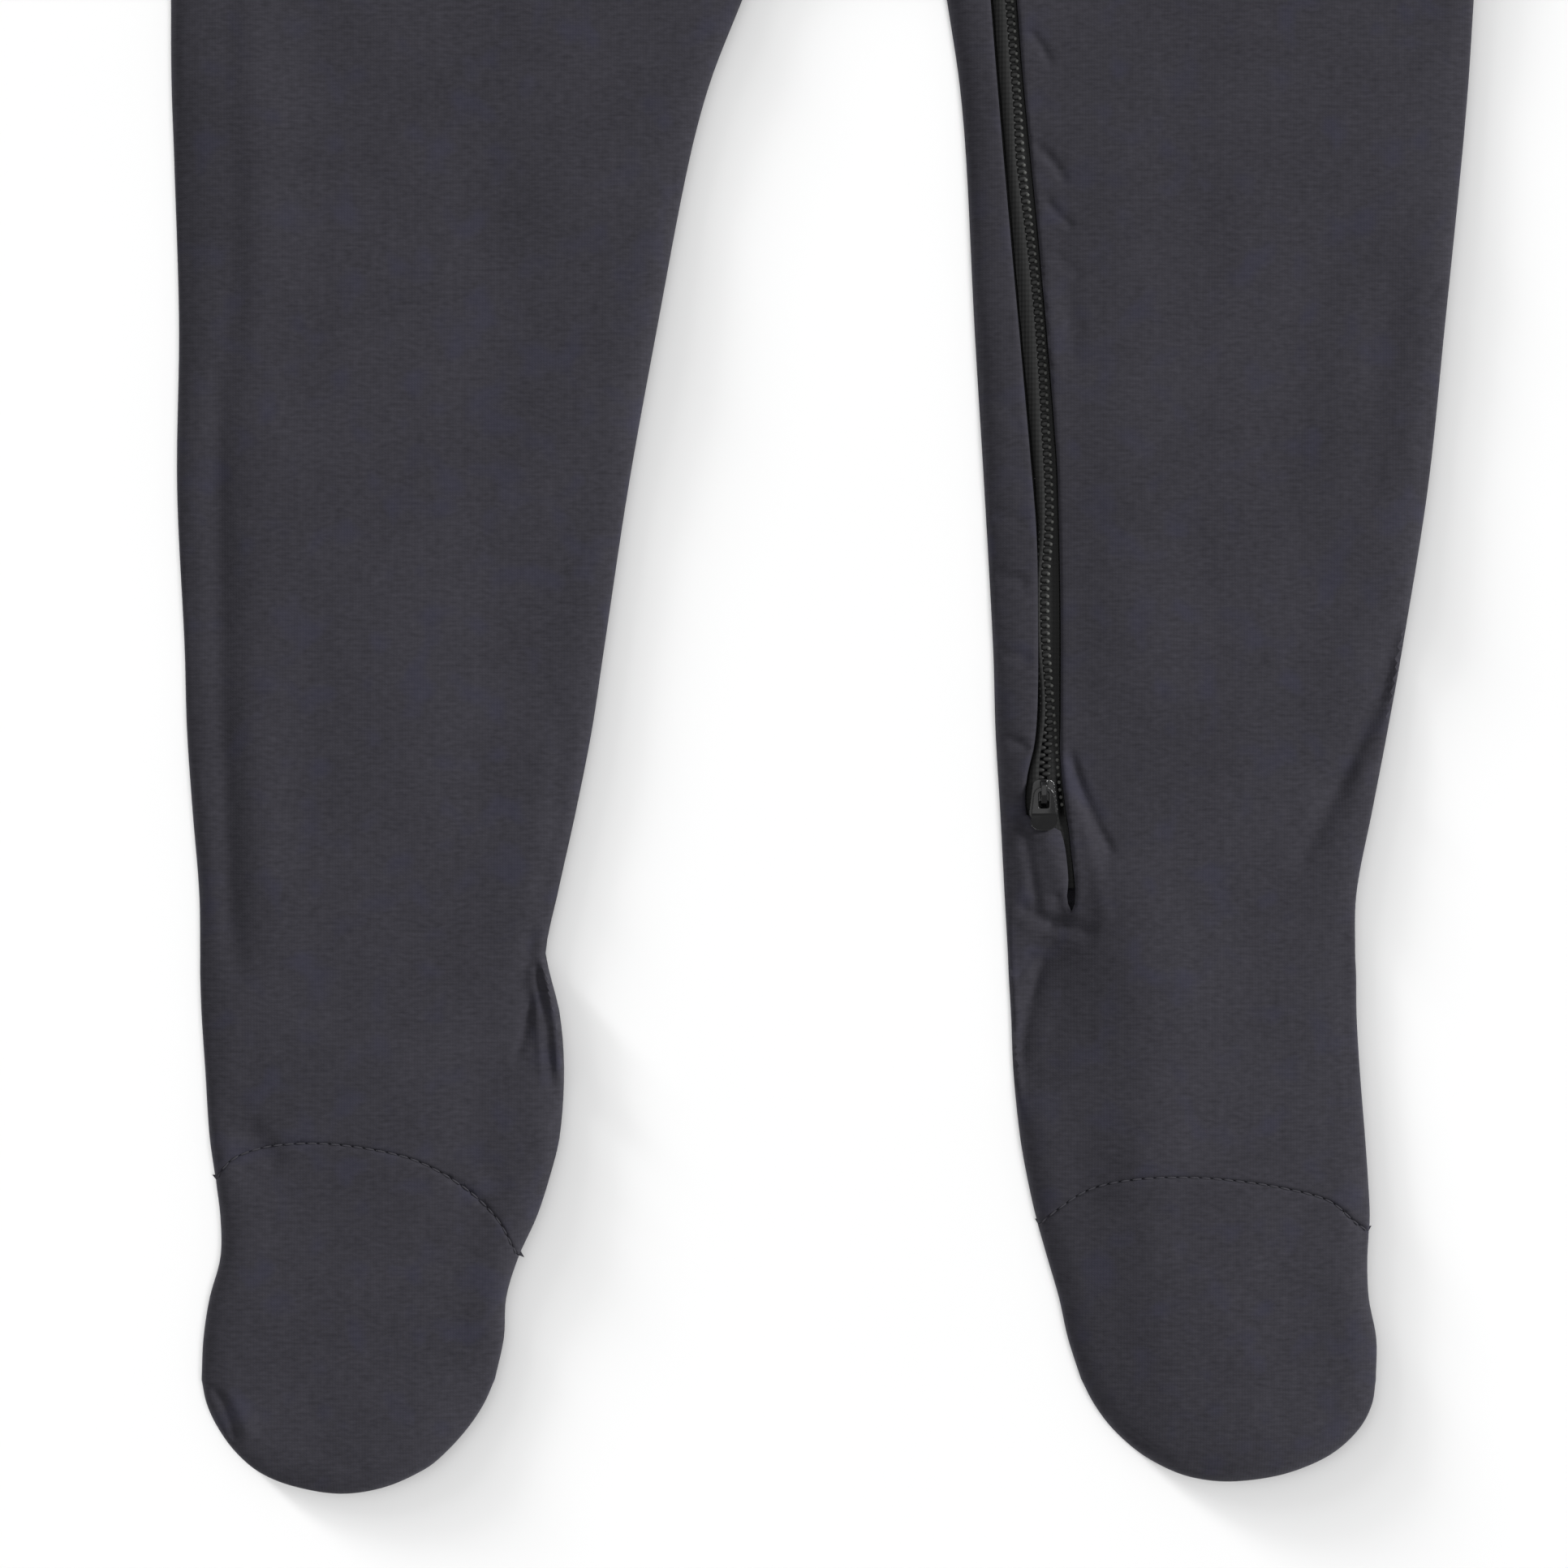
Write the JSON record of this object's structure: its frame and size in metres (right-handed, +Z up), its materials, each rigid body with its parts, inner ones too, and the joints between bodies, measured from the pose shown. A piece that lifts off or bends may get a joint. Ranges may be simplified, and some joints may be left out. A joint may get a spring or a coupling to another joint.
{
  "type": "footed onesie pajama",
  "caption": "Toddler's footed onesie pajama in plain jersey, laid flat, with a coil zip from the neck down one leg to the ankle.",
  "frame": {"origin": "bottom centre of the box of the garment laid flat, on the surface it lies on", "axes": "+X towards the wearer's left side, +Y towards the neck, +Z up from the surface, out of the front"},
  "size_m": [0.6, 0.7492, 0.0094],
  "materials": {
    "jersey": "soft charcoal cotton jersey, slightly heathered, low sheen",
    "zip_tape": "woven polyester tape, near black",
    "zip_nylon": "nylon coil, near black, satin",
    "zip_metal": "die-cast metal with a glossy dark lacquer"
  },
  "bodies": {
    "garment": {"front": "jersey", "back": "jersey", "foot_top_right": "jersey", "foot_top_left": "jersey", "sole_right": "jersey", "sole_left": "jersey", "sleeve_right": "jersey", "sleeve_left": "jersey", "cuff_right": "jersey", "cuff_left": "jersey", "neckband": "jersey", "zip_tape_right": "zip_tape", "zip_tape_left": "zip_tape", "zip_coil": "zip_nylon", "zip_slider": "zip_metal"},
    "pull": {"zip_pull": "zip_metal"}
  },
  "joints": [
    {"name": "pull_swing", "type": "hinge", "parent": "garment", "child": "pull", "pos_m": [0.0442, -0.2249, 0.00755], "axis": [-1, 0, 0], "range_deg": [0, 150]}
  ]
}
